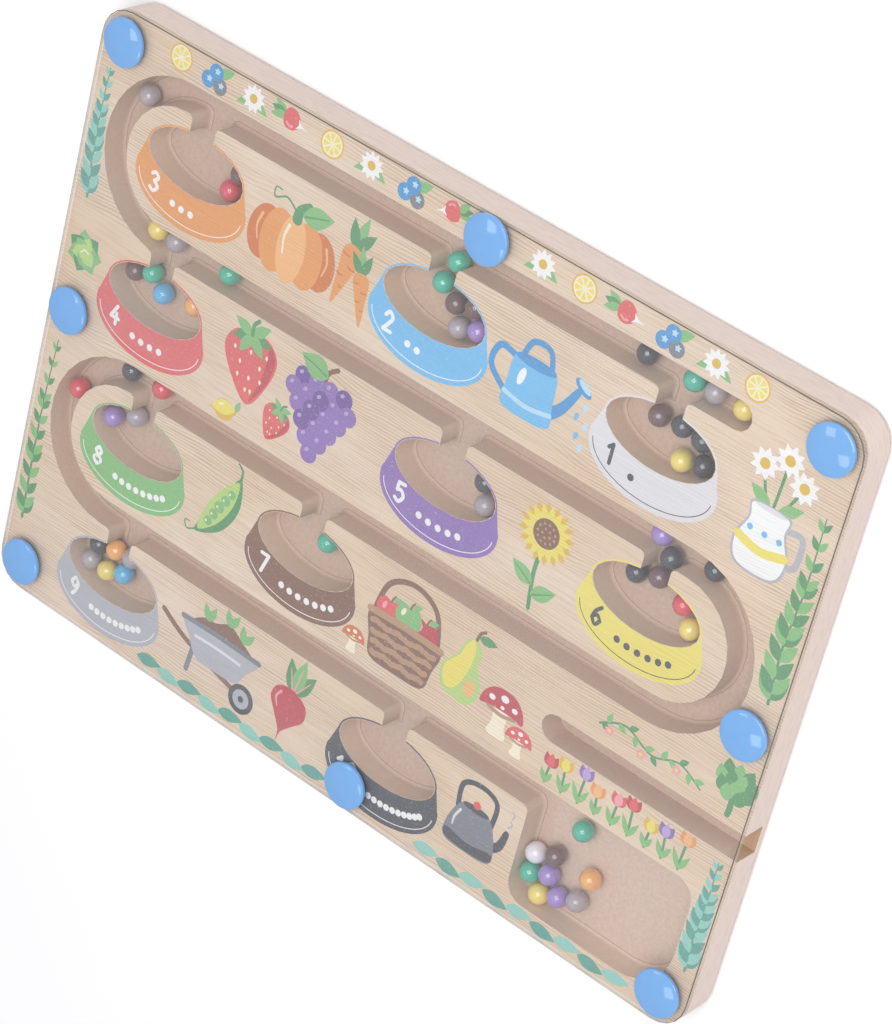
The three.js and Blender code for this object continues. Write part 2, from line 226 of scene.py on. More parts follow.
def fibreboard(name, low, high, fleck):
    """Pressed fibre: two tones and dark flecks, painted shade in the rows, bowls and wall feet, browner at
    the slot's mouth.
    """
    made, tree, shader = finish_named(name, Roughness=0.8, Specular_IOR_Level=0.2)
    pale_flecks = steep(tree, noise_at(tree, (800, 800, 800), 3.0), 0.3, 0.8)
    dark_flecks = steep(tree, noise_at(tree, (1500, 1500, 1500)), 0.62, 0.76)
    cut = between(tree, between(tree, low, high, pale_flecks), fleck, dark_flecks * 0.4)
    spot = spot_on(tree, (1, 1, 1))
    along, across, up = (tree.node("SeparateXYZ", inputs={0: spot}, out=axis) for axis in "XYZ")
    height = reach(tree, up, *SHADE_FADE_Z)
    tray = reach(tree, along, *TRAY_X) * reach(tree, across, *TRAY_Y)
    # Painted shade: darker on the floors of the rows and bowls and towards the foot of the walls, not in the
    # open tray.
    recess_shade = (1 - height) * (1 - tray)
    shade_blend = {"data_type": "RGBA", "blend_type": "MULTIPLY"}
    shaded_cut = tree.node("Mix", shade_blend, {0: recess_shade, 6: cut, 7: RECESS_SHADE_TINT}, out=2)
    mouth = reach(tree, along, *MOUTH_X)
    coloured(tree, shader, shaded_cut, (172, 136, 100), mouth * 0.5)
    bumped(tree, shader, noise_at(tree, (1800, 1800, 1800)), 0.03 * MM)
    return made


floor_cut = fibreboard("cut_floor", (208, 180, 161), (220, 195, 177), (176, 144, 126))
# Painted light: the walls take a paler copy of the same board than the floor.
painted_light_wall_cut = fibreboard("cut_wall_painted_light", (222, 197, 175), (228, 204, 184), (190, 162, 141))
# Painted shade: a darker copy of the board for the thin strip in the crease between floor and wall.
crease_shade_cut = fibreboard("crease_painted_shade", (184, 157, 138), (192, 166, 147), (166, 138, 120))
print("cut finishes", floor_cut.name, painted_light_wall_cut.name, crease_shade_cut.name)

# %% Sanded outside
edge_finish, tree, shader = finish_named("sanded_edge", Roughness=0.6, Specular_IOR_Level=0.3)
plies = noise_at(tree, (20, 20, 700), 3.0)
fibres = steep(tree, noise_at(tree, (200, 200, 1200), 3.0), 0.45, 0.75)
edge = between(tree, (230, 214, 206), (223, 205, 195), plies)
coloured(tree, shader, edge, (194, 170, 152), fibres * 0.3)
bumped(tree, shader, fibres, 0.03 * MM)
print("outside", edge_finish.name)

# %% [markdown]
# ## The board
# The board is one routed blank. It could be cut again here from a slab, but the solid already has the right
# shape, so the piece that shows is a copy of it. The copy is cleaned of its needle triangles, and each side
# takes the finish of the place where it lies: the veneer of the face and the back, the outside, the track's
# floor or its walls. The line where two finishes meet stays crisp, and weighted normals keep the flats flat
# and the round walls smooth.

# %% Copy of a solid
FACE_Z = 13.0
HALF_LONG = 150.0
HALF_WIDE = 108.5
CORNER = 11.0
SEAM = 0.002
FLAT_WITHIN = math.radians(0.4)


def inside_by(point):
    """How far a point in millimetres lies inside the board's rounded outline."""
    x = abs(point.x) - (HALF_LONG - CORNER)
    y = abs(point.y) - (HALF_WIDE - CORNER)
    return CORNER - (math.hypot(max(x, 0), max(y, 0)) + min(max(x, y), 0))


def copied(node):
    """The node's mesh with its seams closed and its flat faces made whole."""
    skin = bmesh.new()
    skin.from_mesh(node.data)
    bmesh.ops.remove_doubles(skin, verts=skin.verts, dist=SEAM * MM)
    bmesh.ops.dissolve_limit(skin, angle_limit=FLAT_WITHIN, verts=skin.verts, edges=skin.edges)
    return skin


def shown(name, skin, finishes, slot, body="board", smooth=40):
    """A piece of the toy from a bmesh, with its finishes and the body that carries it; the slot argument is
    not used.
    """
    mesh = bpy.data.meshes.new(name)
    skin.to_mesh(mesh)
    skin.free()
    for finish in finishes:
        mesh.materials.append(finish)
    mesh.shade_smooth()
    mesh.set_sharp_from_angle(angle=math.radians(smooth))
    piece = bpy.data.objects.new(name, mesh)
    bpy.context.scene.collection.objects.link(piece)
    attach(piece, body)
    return piece


print("board outline", 2 * HALF_LONG, "x", 2 * HALF_WIDE, "mm")

# %% Board
FACE, OUTSIDE, FLOOR, WALL, CREASE_SHADE = range(5)
EDGE_DEPTH = 1.7
CREASE_SHADE_WIDTH = 0.2

skin = copied(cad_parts["maze_board"])
for side in skin.faces:
    places = [corner.co / MM for corner in side.verts]
    on_face = side.normal.z > 0.9 and places[0].z > FACE_Z - 0.1
    if on_face or side.normal.z < -0.9:
        side.material_index = FACE
    elif all(inside_by(place) < EDGE_DEPTH for place in places):
        side.material_index = OUTSIDE
    else:
        side.material_index = FLOOR if side.normal.z > 0.99 else WALL
# A thin bevel strip along the crease between floor and wall carries painted shade.
rounds = [line for line in skin.edges if {side.material_index for side in line.link_faces} == {FLOOR, WALL}]
bmesh.ops.bevel(skin, geom=rounds, offset=CREASE_SHADE_WIDTH * MM, segments=1, affect="EDGES", material=CREASE_SHADE)
board = shown("routed_board", skin, (face_finish, edge_finish, floor_cut, painted_light_wall_cut, crease_shade_cut), "wood")
sides_of = {}
for side in board.data.polygons:
    for key in side.edge_keys:
        sides_of.setdefault(key, set()).add(side.material_index)
for line in board.data.edges:
    line.use_edge_sharp = line.use_edge_sharp or len(sides_of[line.key]) > 1
flat = board.modifiers.new("flat faces", "WEIGHTED_NORMAL")
flat.keep_sharp = True
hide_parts("maze_board")
print("board faces", len(board.data.polygons))

# %% [markdown]
# ## The clear cover
# The cover is a 2 mm acrylic sheet. Real glass shading would need many more samples to look clean, and the
# sheet is too thin for its bending of light to show. So it mixes clear see-through with a glossy skin. The
# share of gloss is a faint veil with rubbed patches, and it rises where the sheet is seen along its
# surface. The sharp top edge of a real sheet shows as one thin dark line, so the narrow slope along it is
# painted an opaque dark grey: painted shade. The two walls on the lamp's side let the light in. The two far
# walls, seen from inside, are painted a grained wood colour: a painted reflection of the wood below them.


# %% Acrylic
def see_through(made, tree, shader, share, tint):
    """Shows a share of the glossy skin, and clear see-through for the rest."""
    clear = tree.node("BsdfTransparent", inputs={"Color": tint})
    skin = Shade(tree.tree, shader.outputs[0])
    both = tree.node("MixShader", inputs={0: share, 1: clear, 2: skin})
    tree.feed(made.node_tree.nodes["Material Output"].inputs["Surface"], both)


VEIL = 0.05
ACRYLIC = 1.49

sheet_finish, tree, shader = finish_named("acrylic_sheet", Roughness=0.06, IOR=ACRYLIC)
glance = tree.math("POWER", tree.node("LayerWeight", inputs={"Blend": 0.5}, out="Facing"), 5.0)
rubbed = noise_at(tree, (22, 30, 30), 3.0)
see_through(sheet_finish, tree, shader, glance * 0.8 + rubbed * VEIL + VEIL * 0.5, linear(252, 253, 254))
coloured(tree, shader, (240, 242, 246), (228, 232, 240), rubbed)

# Painted reflection: seen from inside, the far walls show a grained wood colour in place of a mirror of the
# wood below.
wall_reflection_finish, tree, shader = finish_named("acrylic_wall_painted_reflection", Roughness=0.4, IOR=ACRYLIC)
inside = tree.node("NewGeometry", out="Backfacing")
see_through(wall_reflection_finish, tree, shader, inside * 0.72 + 0.06, linear(248, 248, 248))
coloured(tree, shader, (240, 222, 204), (220, 196, 174), grain(tree))

# Painted shade: the slope along the sheet's top edge is an opaque dark grey.
edge_shade_finish, tree, shader = finish_named("acrylic_edge_painted_shade", Roughness=0.3, IOR=ACRYLIC)
shade = noise_at(tree, (60, 60, 60))
coloured(tree, shader, (96, 88, 82), (130, 122, 114), shade)
print("acrylic", sheet_finish.name, wall_reflection_finish.name, edge_shade_finish.name)

# %% Cover
SHEET, EDGE, FAR_WALL = range(3)

low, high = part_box("clear_cover")
skin = copied(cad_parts["clear_cover"])
for side in skin.faces:
    middle = side.calc_center_median() / MM
    if abs(side.normal.z) > 0.95 or inside_by(middle) > 0.5:
        side.material_index = SHEET
    elif side.normal.z > 0.2:
        side.material_index = EDGE
    else:
        side.material_index = FAR_WALL if side.normal.x + side.normal.y < 0 else SHEET
edge_count = sum(side.material_index == EDGE for side in skin.faces)
cover = shown("cover_sheet", skin, (sheet_finish, edge_shade_finish, wall_reflection_finish), "clear_acrylic")
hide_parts("clear_cover")
print("cover from", round(low.z / MM, 2), "to", round(high.z / MM, 2), "mm, edge faces", edge_count)

# %% [markdown]
# ## Studs
# Eight moulded studs push through the cover into the board. Each has a low domed head with a crisp rim. The
# solid's head is faceted, and a lathe makes it round again: one profile, turned about the stud's axis. The
# finish is glossy pale blue plastic, a touch deeper in some patches as the pigment settles.


# %% Lathe
def turned(profile, sides):
    """A mesh turned about Z from (radius, height) pairs in millimetres. A pair on the axis closes an end."""
    skin = bmesh.new()
    rings = []
    for radius, height in profile:
        turns = [math.tau * step / sides for step in range(sides if radius else 1)]
        spots = [(radius * math.cos(turn), radius * math.sin(turn), height) for turn in turns]
        rings.append([skin.verts.new(Vector(spot) * MM) for spot in spots])
    for lower, upper in zip(rings, rings[1:]):
        for step in range(sides):
            after = (step + 1) % sides
            ring = [lower[step % len(lower)], lower[after % len(lower)]]
            ring += [upper[after % len(upper)], upper[step % len(upper)]]
            skin.faces.new(list(dict.fromkeys(ring)))
    return skin


print("a lathe for studs and beads")

# %% Stud heads
stud_finish, tree, shader = finish_named("blue_plastic", Roughness=0.06, Specular_IOR_Level=0.55)
settled = noise_at(tree, (240, 240, 240), 3.0)
coloured(tree, shader, (116, 166, 222), (124, 174, 229), settled)
bumped(tree, shader, noise_at(tree, (300, 300, 300)), 0.01 * MM)

low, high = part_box("stud_top_left")
HEAD = (high.x - low.x) / 2 / MM
STUD_TOP = high.z / MM
SEAT = 15.4
RIM = 16.5
DOME = HEAD - 0.5
SHANK = 1.9
TIP = 7.0
stud_profile = [(0, TIP), (SHANK - 0.3, TIP), (SHANK, TIP + 0.4), (SHANK, SEAT)]
stud_profile += [(HEAD - 0.2, SEAT), (HEAD, SEAT + 0.2), (HEAD, RIM - 0.1), (HEAD - 0.1, RIM + 0.1)]
for step in range(10):
    share = 1 - step / 10
    stud_profile.append((DOME * share, STUD_TOP - (STUD_TOP - RIM - 0.3) * share**2))
stud_profile.append((0, STUD_TOP))

studs = [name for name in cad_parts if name.startswith("stud_")]
for name in studs:
    low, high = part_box(name)
    skin = turned(stud_profile, 64)
    bmesh.ops.translate(skin, verts=skin.verts, vec=((low.x + high.x) / 2, (low.y + high.y) / 2, 0))
    cap = shown(name.replace("stud", "cap"), skin, (stud_finish,), "stud_blue", smooth=18)
    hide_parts(name)
print("studs", len(studs), "head", round(2 * HEAD, 2), "mm across, top", round(STUD_TOP, 2), "mm")

# %% [markdown]
# ## Beads
# The beads are steel balls with a thick coat of glossy paint, so that a magnet draws them. A real painted
# ball isn't a perfect sphere: it has a faint belt where the dies met, a small flat where it stood to dry,
# and paint that mottles a little. The lathe turns that outline once, and each bead is a copy, rolled to its
# own chance angle. Five more beads than the solids hold lie still in their bowls.

# %% Bead shape and paint
BEAD_RADIUS = 3.6
BEAD_FLAT = BEAD_RADIUS * 0.985
BEAD_STEPS = 40
BELT_DEPTH = 0.03
BELT_SPREAD = 0.05
BEAD_PAINT = {
    "white": (248, 238, 247),
    "blue": (106, 188, 236),
    "orange": (255, 184, 106),
    "red": (232, 90, 104),
    "purple": (172, 142, 210),
    "yellow": (252, 226, 122),
    "brown": (122, 91, 89),
    "green": (84, 192, 162),
    "gray": (182, 170, 176),
    "black": (76, 73, 80),
}

bead_profile = [(0, -BEAD_FLAT)]
for step in range(1, BEAD_STEPS):
    lean = math.pi * step / BEAD_STEPS - math.pi / 2
    radius = BEAD_RADIUS - BELT_DEPTH * math.exp(-((lean / BELT_SPREAD) ** 2))
    bead_profile.append((radius * math.cos(lean), max(radius * math.sin(lean), -BEAD_FLAT)))
bead_profile.append((0, BEAD_RADIUS))


def painted(colour):
    """Glossy paint on steel: even, with a slight mottle and the ripple of a dipped coat."""
    made, tree, shader = finish_named("paint_" + colour, Coat_Weight=0.8, Coat_Roughness=0.03)
    deeper = tuple(level * 0.9 for level in BEAD_PAINT[colour])
    mottle = noise_at(tree, (420, 420, 420), 3.0)
    coloured(tree, shader, deeper, BEAD_PAINT[colour], mottle)
    tree.feed(shader.inputs["Roughness"], mottle * 0.1 + 0.12)
    bumped(tree, shader, noise_at(tree, (700, 700, 700)), 0.03 * MM)
    return made


print("bead outline", len(bead_profile), "points, paints", len(BEAD_PAINT))

# %% Place the beads
ball = turned(bead_profile, BEAD_STEPS)
ball_mesh = bpy.data.meshes.new("ball")
ball.to_mesh(ball_mesh)
ball.free()
paints = {colour: painted(colour) for colour in BEAD_PAINT}
chance = random.Random(7)


def bead_at(name, middle, body):
    """A copy of the ball, rolled to a chance angle, in the colour that its name gives."""
    colour = name.split("_")[1]
    skin = bmesh.new()
    skin.from_mesh(ball_mesh)
    roll = Euler([chance.uniform(0, math.tau) for axis in range(3)]).to_matrix().to_4x4()
    bmesh.ops.transform(skin, matrix=Matrix.Translation(middle) @ roll, verts=skin.verts)
    return shown(name, skin, (paints[colour],), "bead_" + colour, body)


beads = [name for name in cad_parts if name.startswith("bead_")]
middles = {}
for name in beads:
    low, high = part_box(name)
    middles[name] = (low + high) / 2
    ball_piece = bead_at(name.replace("bead", "ball"), middles[name], name)
    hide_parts(name)

STILL_BEADS = (
    ("ball_brown_6", "bead_red_1", 2.88, 6.94),
    ("ball_orange_3", "bead_blue_1", 13.55, 2.46),
    ("ball_black_10", "bead_black_2", -7.68, 0.96),
    ("ball_brown_7", "bead_brown_1", 7.23, 2.19),
    ("ball_gray_9", "bead_blue_2", 2.05, 7.36),
)
for name, beside, x, y in STILL_BEADS:
    bead_at(name, middles[beside] + Vector((x, y, 0)) * MM, "board")
print("beads", len(beads) + len(STILL_BEADS))

# %% [markdown]
# ## Print
# The face is screen printed: flat, slightly chalky inks laid one over another, thin enough for the grain to
# show. A texture picture would be quick, but it goes soft up close and needs a file. So each shape of ink
# is a real patch with its own outline, at most about a tenth of a millimetre thick, and a later ink lies on
# an earlier one.

# %% Inks
INK = {
    "orange": (232, 160, 96),
    "rust": (214, 128, 74),
    "apricot": (243, 186, 128),
    "sky": (122, 190, 232),
    "sea": (86, 156, 208),
    "mist": (190, 222, 240),
    "white": (246, 243, 240),
    "pearl": (226, 222, 224),
    "stone": (184, 182, 188),
    "slate": (134, 134, 142),
    "coal": (84, 84, 90),
    "red": (226, 104, 102),
    "wine": (198, 80, 88),
    "pink": (240, 166, 170),
    "plum": (150, 118, 182),
    "violet": (124, 92, 160),
    "lilac": (190, 166, 212),
    "butter": (238, 220, 110),
    "honey": (226, 186, 80),
    "cocoa": (142, 106, 88),
    "tan": (190, 150, 118),
    "leaf": (140, 190, 126),
    "moss": (98, 154, 104),
    "lime": (188, 212, 130),
    "sea_leaf": (150, 204, 190),
    "deep_leaf": (104, 166, 152),
    "cream": (248, 234, 208),
}


def printed(name):
    """Chalky ink over wood: the grain darkens it a little, and tiny gaps let the cream through."""
    made, tree, shader = finish_named("ink_" + name, Roughness=0.55, Specular_IOR_Level=0.3)
    red, green, blue = INK[name]
    worn = steep(tree, noise_at(tree, (1100, 1600, 900), 3.0), 0.6, 0.78)
    streaked = (red * 0.94, green * 0.93, blue * 0.92)
    inked = between(tree, INK[name], streaked, grain(tree))
    coloured(tree, shader, (240, 226, 208), inked, 1 - worn * 0.35)
    return made


inks = {name: printed(name) for name in INK}
print("inks", len(inks))

# %% [markdown]
# Every drawing is built from a few kinds of outline: ovals, smooth blobs through a ring of points, leaves
# that come to a point, and ribbons that follow a line and may taper. A motif gives its patches one by one:
# an ink, an outline and perhaps a layer. A stamp then builds them into one piece with several inks.


# %% Outlines
def about(long, wide, turn):
    return Vector((long * math.cos(turn), wide * math.sin(turn)))


def oval(x, y, long, wide=None, tilt=0.0, steps=32):
    wide = long if wide is None else wide
    turn = Matrix.Rotation(math.radians(tilt), 2)
    ring = [math.tau * step / steps for step in range(steps)]
    return [turn @ about(long, wide, angle) + Vector((x, y)) for angle in ring]


def smooth_line(points, closed=False, steps=8):
    """A soft curve through every point."""
    spots = [Vector(point) for point in points]
    before_first = spots[-1] if closed else spots[0]
    after_last = spots[:2] if closed else spots[-1:]
    ring = [before_first, *spots, *after_last]
    line = []
    for before, start, end, after in zip(ring, ring[1:], ring[2:], ring[3:]):
        for step in range(steps):
            t = step / steps
            bend = (2 * before - 5 * start + 4 * end - after) * t * t
            sway = (3 * start - before - 3 * end + after) * t * t * t
            line.append((2 * start + (end - before) * t + bend + sway) / 2)
    return line if closed else line + [spots[-1]]


def blob(points):
    return smooth_line(points, closed=True)


def even_blob(points):
    """A blob with two like halves, from the points of its right half, top to bottom."""
    left = [(-x, y) for x, y in reversed(points) if x]
    return blob(points + left)


def leaf(x, y, length, wide, tilt):
    """A leaf or petal from its foot at (x, y), pointing along the tilt."""
    turn = Matrix.Rotation(math.radians(tilt), 2)
    shares = [step / 12 for step in range(13)]
    over = [Vector((length * s, wide / 2 * math.sin(math.pi * s**0.8))) for s in shares]
    under = [Vector((spot.x, -spot.y)) for spot in over[-2:0:-1]]
    return [turn @ spot + Vector((x, y)) for spot in over + under]


print("outlines: oval, blob and leaf")


# %% Ribbons
def ribbon(points, wide, end_wide=None):
    """A stroke along a soft curve, with round ends."""
    line = smooth_line(points)
    end_wide = wide if end_wide is None else end_wide
    left, right, last = [], [], len(line) - 1
    for index, spot in enumerate(line):
        ahead = (line[min(index + 1, last)] - line[max(index - 1, 0)]).normalized()
        half = (wide + (end_wide - wide) * index / last) / 2
        off = Vector((-ahead.y, ahead.x)) * half
        left.append(spot + off)
        right.append(spot - off)
    turns = [Matrix.Rotation(-math.pi * step / 6, 2) for step in range(1, 6)]
    tip = [line[-1] + turn @ (left[-1] - line[-1]) for turn in turns]
    tail = [line[0] + turn @ (right[0] - line[0]) for turn in turns]
    return left + tip + right[::-1] + tail


def stations(points, count, share):
    """Places along a soft curve: number, spot, and the way the curve runs there, in degrees."""
    line = smooth_line(points)
    for step in range(count):
        index = int((step + share) / count * (len(line) - 2))
        along = line[index + 1] - line[index]
        yield step, line[index], math.degrees(math.atan2(along.y, along.x))


print("outlines: ribbon")

# %% Drawings
INK_FOOT = 0.002
INK_TOP = 0.01
INK_STEP = 0.002


def stamp(motif, name, x=0.0, y=0.0, turn=0.0, size=1.0, lift=0.0, kind="print", **choices):
    """Prints a motif as one piece, lowest layer first. Each patch lies a hair higher than the last."""
    place = Matrix.Translation((x, y, 0)) @ Matrix.Rotation(math.radians(turn), 4, "Z")
    place = place @ Matrix.Scale(size, 4)
    patches = [(*patch, 0)[:3] for patch in motif(**choices)]
    top = FACE_Z + INK_TOP + lift
    skin = bmesh.new()
    used = []
    for ink, outline, layer in sorted(patches, key=lambda patch: patch[2]):
        if ink not in used:
            used.append(ink)
        area = sum(a.x * b.y - b.x * a.y for a, b in zip(outline, outline[1:] + outline[:1]))
        ring = outline if area > 0 else outline[::-1]
        spots = [place @ Vector((spot.x, spot.y, 0)) for spot in ring]
        top += INK_STEP
        lower = [skin.verts.new(Vector((spot.x, spot.y, FACE_Z + INK_FOOT)) * MM) for spot in spots]
        upper = [skin.verts.new(Vector((spot.x, spot.y, top)) * MM) for spot in spots]
        sides = [skin.faces.new(upper), skin.faces.new(lower[::-1])]
        for index in range(len(spots)):
            rim = (lower[index - 1], lower[index], upper[index], upper[index - 1])
            sides.append(skin.faces.new(rim))
        for side in sides:
            side.material_index = used.index(ink)
    shown(f"{kind}_{name}", skin, [inks[ink] for ink in used], None, smooth=20)
    print(kind, name, len(patches), "patches")


def petals(ink, x, y, length, wide, count, start=0.0, layer=0):
    """A ring of petals about a spot."""
    for step in range(count):
        yield ink, leaf(x, y, length, wide, step * 360 / count + start), layer


print("ink steps of", INK_STEP, "mm")

# %% [markdown]
# ## Number bands
# Under each bowl lies a band in the bowl's colour, with a thin line along its foot. A figure gives the
# number of beads that belong there, and as many dots show it without words. A cut through a whole oval
# would make the band too, but two arcs joined end to end give it exactly.

# %% Bowls
BOWLS = (
    ("orange", 3, -103.7, 70.6, "orange", "white"),
    ("blue", 2, -3.6, 70.6, "sky", "white"),
    ("white", 1, 84.4, 70.6, "pearl", "coal"),
    ("red", 4, -108.6, 19.3, "red", "white"),
    ("purple", 5, 16.0, 19.3, "plum", "white"),
    ("yellow", 6, 95.4, 19.3, "butter", "coal"),
    ("green", 8, -103.6, -32.0, "leaf", "white"),
    ("brown", 7, -28.2, -32.0, "cocoa", "white"),
    ("gray", 9, -102.1, -83.3, "stone", "white"),
    ("black", 10, 21.6, -83.3, "coal", "white"),
)


def oval_arc(long, wide, drop, start=180.0, end=360.0, steps=40):
    """Part of an oval between two angles, or else its lower half from left to right."""
    turns = [math.radians(start + (end - start) * step / steps) for step in range(steps + 1)]
    return [about(long, wide, turn) + Vector((0, drop)) for turn in turns]


print("bowls", len(BOWLS))

# %% Figures
DIGIT_PITCH = 0.78
STROKE_WIDE = 0.2
STROKES = {
    "0": [[(30, 100), (6, 76), (6, 24), (30, 0)], [(30, 0), (54, 24), (54, 76), (30, 100)]],
    "1": [[(14, 78), (36, 100)], [(36, 100), (36, 0)]],
    "2": [[(8, 76), (30, 100), (53, 74), (36, 40), (8, 0)], [(8, 0), (56, 0)]],
    "3": [[(8, 88), (30, 100), (51, 78), (28, 54)], [(28, 54), (55, 28), (30, 0), (6, 13)]],
    "4": [[(40, 100), (5, 34)], [(5, 34), (60, 34)], [(42, 60), (42, 0)]],
    "5": [[(52, 100), (14, 100)], [(14, 100), (11, 58)], [(11, 58), (36, 63), (55, 33), (32, 0), (6, 12)]],
    "6": [[(46, 100), (18, 68), (6, 28)], [(6, 28), (30, 0), (54, 28)], [(54, 28), (32, 53), (8, 34)]],
    "7": [[(6, 100), (54, 100)], [(54, 100), (24, 0)]],
    "8": [[(30, 53), (11, 76), (30, 100)], [(30, 100), (49, 76), (30, 53)]]
    + [[(30, 53), (6, 27), (30, 0)], [(30, 0), (54, 27), (30, 53)]],
    "9": [[(53, 70), (28, 46), (7, 72)], [(7, 72), (30, 100), (54, 70)], [(54, 70), (44, 30), (24, 0)]],
}


def figure(text, ink, x, y, tall):
    """A number in round strokes, from the foot of its left edge."""
    for place, digit in enumerate(text):
        left = x + place * DIGIT_PITCH * tall
        for stroke in STROKES[digit]:
            points = [(left + across / 100 * tall, y + up / 100 * tall) for across, up in stroke]
            yield ink, ribbon(points, tall * STROKE_WIDE), 2


print("figures", len(STROKES))

# %% Bands
LIP = (20.4, 10.25)


def band(number, ink, mark):
    lip = oval_arc(*LIP, 0.0, 172.0, 368.0)
    foot = oval_arc(23.9, 13.7, -9.5)
    cheek = [Vector((20.3, 2.6)), Vector((23.2, -6.2)), Vector((23.8, -7.4))]
    yield ink, lip + cheek + foot[::-1] + [Vector((-spot.x, spot.y)) for spot in cheek[::-1]]
    ring = oval_arc(*LIP, 0.0, 105.0, 435.0, 80)
    outer = oval_arc(21.0, 10.8, 0.0, 105.0, 435.0, 80)
    yield ink, ring + outer[::-1], 1
    line = oval_arc(22.4, 11.9, -9.6, 184.0, 356.0, 60)
    inner = oval_arc(22.1, 11.6, -9.6, 184.0, 356.0, 60)
    yield mark, line + inner[::-1], 1
    yield from figure(str(number), mark, -16.8 if number < 10 else -19.0, -15.8, 6.4)
    for count in range(number):
        turn = math.radians((254 if number < 10 else 261) + min(10.5, 68 / number) * count)
        spot = about(22, 11.9, turn)
        yield mark, oval(spot.x, spot.y - 4.75, 1.2, steps=20), 1


for colour, number, x, y, ink, mark in BOWLS:
    stamp(band, colour, x, y, kind="band", number=number, ink=ink, mark=mark)

# %% [markdown]
# ## Garden drawings
# The land between the rows carries a kitchen garden: fruit, roots, flowers and tools, each in a few flat
# inks. They could be traced as long curves, but a motif built from a few outlines is short to write and
# easy to change. Every drawing stays clear of the track, so that no patch needs to be cut.


# %% Pumpkin and carrots
def pumpkin():
    for side in (-1, 1):
        yield "rust", oval(side * 12.5, 0, 7.2, 10.6, side * 8)
        yield "orange", oval(side * 6.8, -0.6, 7.2, 12.2, side * 4), 1
        yield "apricot", ribbon([(side * 14.6, 6), (side * 16, 1), (side * 14.8, -4)], 1.2, 0.5), 2
    yield "apricot", oval(0, -1, 6.2, 12.8), 2
    yield "cream", ribbon([(-2.6, 7), (-3.8, 2), (-3.2, -4)], 1.3, 0.6), 3
    yield "moss", ribbon([(0, 10.5), (0.6, 14), (4, 17)], 4.4, 2.8), 3
    yield "leaf", leaf(2, 12.6, 14, 8, 18), 3
    yield "moss", ribbon([(3, 12.9), (8, 14.6), (13, 16.2)], 0.7, 0.4), 4
    yield "moss", ribbon([(-1, 13), (-6, 16), (-11, 14), (-11.5, 17.5), (-8.8, 17.6)], 0.8, 0.5), 3


def carrot():
    for tilt, length in ((62, 12), (90, 14.5), (118, 12)):
        yield "leaf" if tilt == 90 else "moss", leaf(0, 9, length, 4.6, tilt), 0 if tilt == 90 else 1
    yield "orange", blob([(-4.4, 7.5), (0, 10.4), (4.4, 7.5), (3, -3), (0.4, -15), (-2.6, -3)]), 2
    for height, start, end in ((5.4, -4, -0.6), (1.6, 3.4, 0.4), (-3, -2.6, -0.2), (-7, 1.8, 0.3)):
        dip = ((start + end) / 2, height - 0.3)
        yield "rust", ribbon([(start, height), dip, (end, height)], 0.7), 3


stamp(pumpkin, "pumpkin", -60.5, 63, size=0.92)
stamp(carrot, "carrot_1", -38.6, 66, -14, 0.88)
stamp(carrot, "carrot_2", -31, 60.5, 10, 0.7, 0.04)


# %% Watering can and jug
def watering_can():
    yield "sea", ribbon([(7, -7), (13, -2), (18, 7)], 5.2, 2.6)
    yield "sea", oval(19.4, 9.2, 4.2, 1.9, -32), 1
    yield "mist", oval(19.8, 9.8, 3.2, 1.2, -32), 2
    yield "sea", ribbon([(-8, 7), (-15, 8), (-17, 0), (-9, -7)], 2.4)
    yield "sea", ribbon([(-6, 8), (-3, 15), (4, 15), (6.5, 8)], 2.2)
    yield "sky", even_blob([(0, 8.8), (8.4, 8), (9.8, -3), (10, -11), (0, -12.6)]), 1
    yield "sea", oval(0, 8, 8.6, 2.0), 2
    yield "mist", ribbon([(-9.8, -6.4), (0, -8), (9.8, -6.4)], 1.7), 2
    yield "white", oval(-4.4, 1.4, 1.4, 3.4, -12), 2
    for drop, (across, up) in enumerate(((22.4, 4.6), (19.8, 0.4), (24, -1.4), (21.4, -6), (24, -9.4))):
        yield "sky" if drop % 2 else "mist", leaf(across, up, 3.4, 1.9, 258)


def jug():
    for lean, (across, up) in ((8, (-7, 21)), (0, (1, 26)), (-8, (8.4, 20))):
        yield "moss", ribbon([(lean * -0.1, 6), (across * 0.6, up * 0.6), (across, up)], 1.1)
        yield from petals("white", across, up, 5.6, 2.9, 9, lean, 1)
        yield "honey", oval(across, up, 1.9), 2
    yield "leaf", leaf(-1, 8, 10, 4.4, 150)
    yield "leaf", leaf(2, 8, 10, 4.4, 30)
    yield "stone", ribbon([(7, 4), (13, 4), (13, -6), (7.6, -8)], 2.2)
    yield "stone", even_blob([(0, 8.8), (7.6, 8), (7.4, 2), (10.6, -7), (7, -15)])
    yield "white", even_blob([(0, 8.1), (6.9, 7.4), (6.6, 2), (9.7, -7), (6.4, -14.2)]), 1
    yield "butter", ribbon([(-8.8, -5.2), (0, -7.2), (8.8, -5.2)], 3.2), 2
    yield "pearl", oval(0, 7.6, 6.0, 0.9), 2
    for dot in (-5.6, 0, 5.6):
        yield "sky", oval(dot, 0.02 * abs(dot) - 1, 1.1), 2


stamp(watering_can, "watering_can", 37, 64, size=0.92)
stamp(jug, "jug", 126, 62, size=0.94)


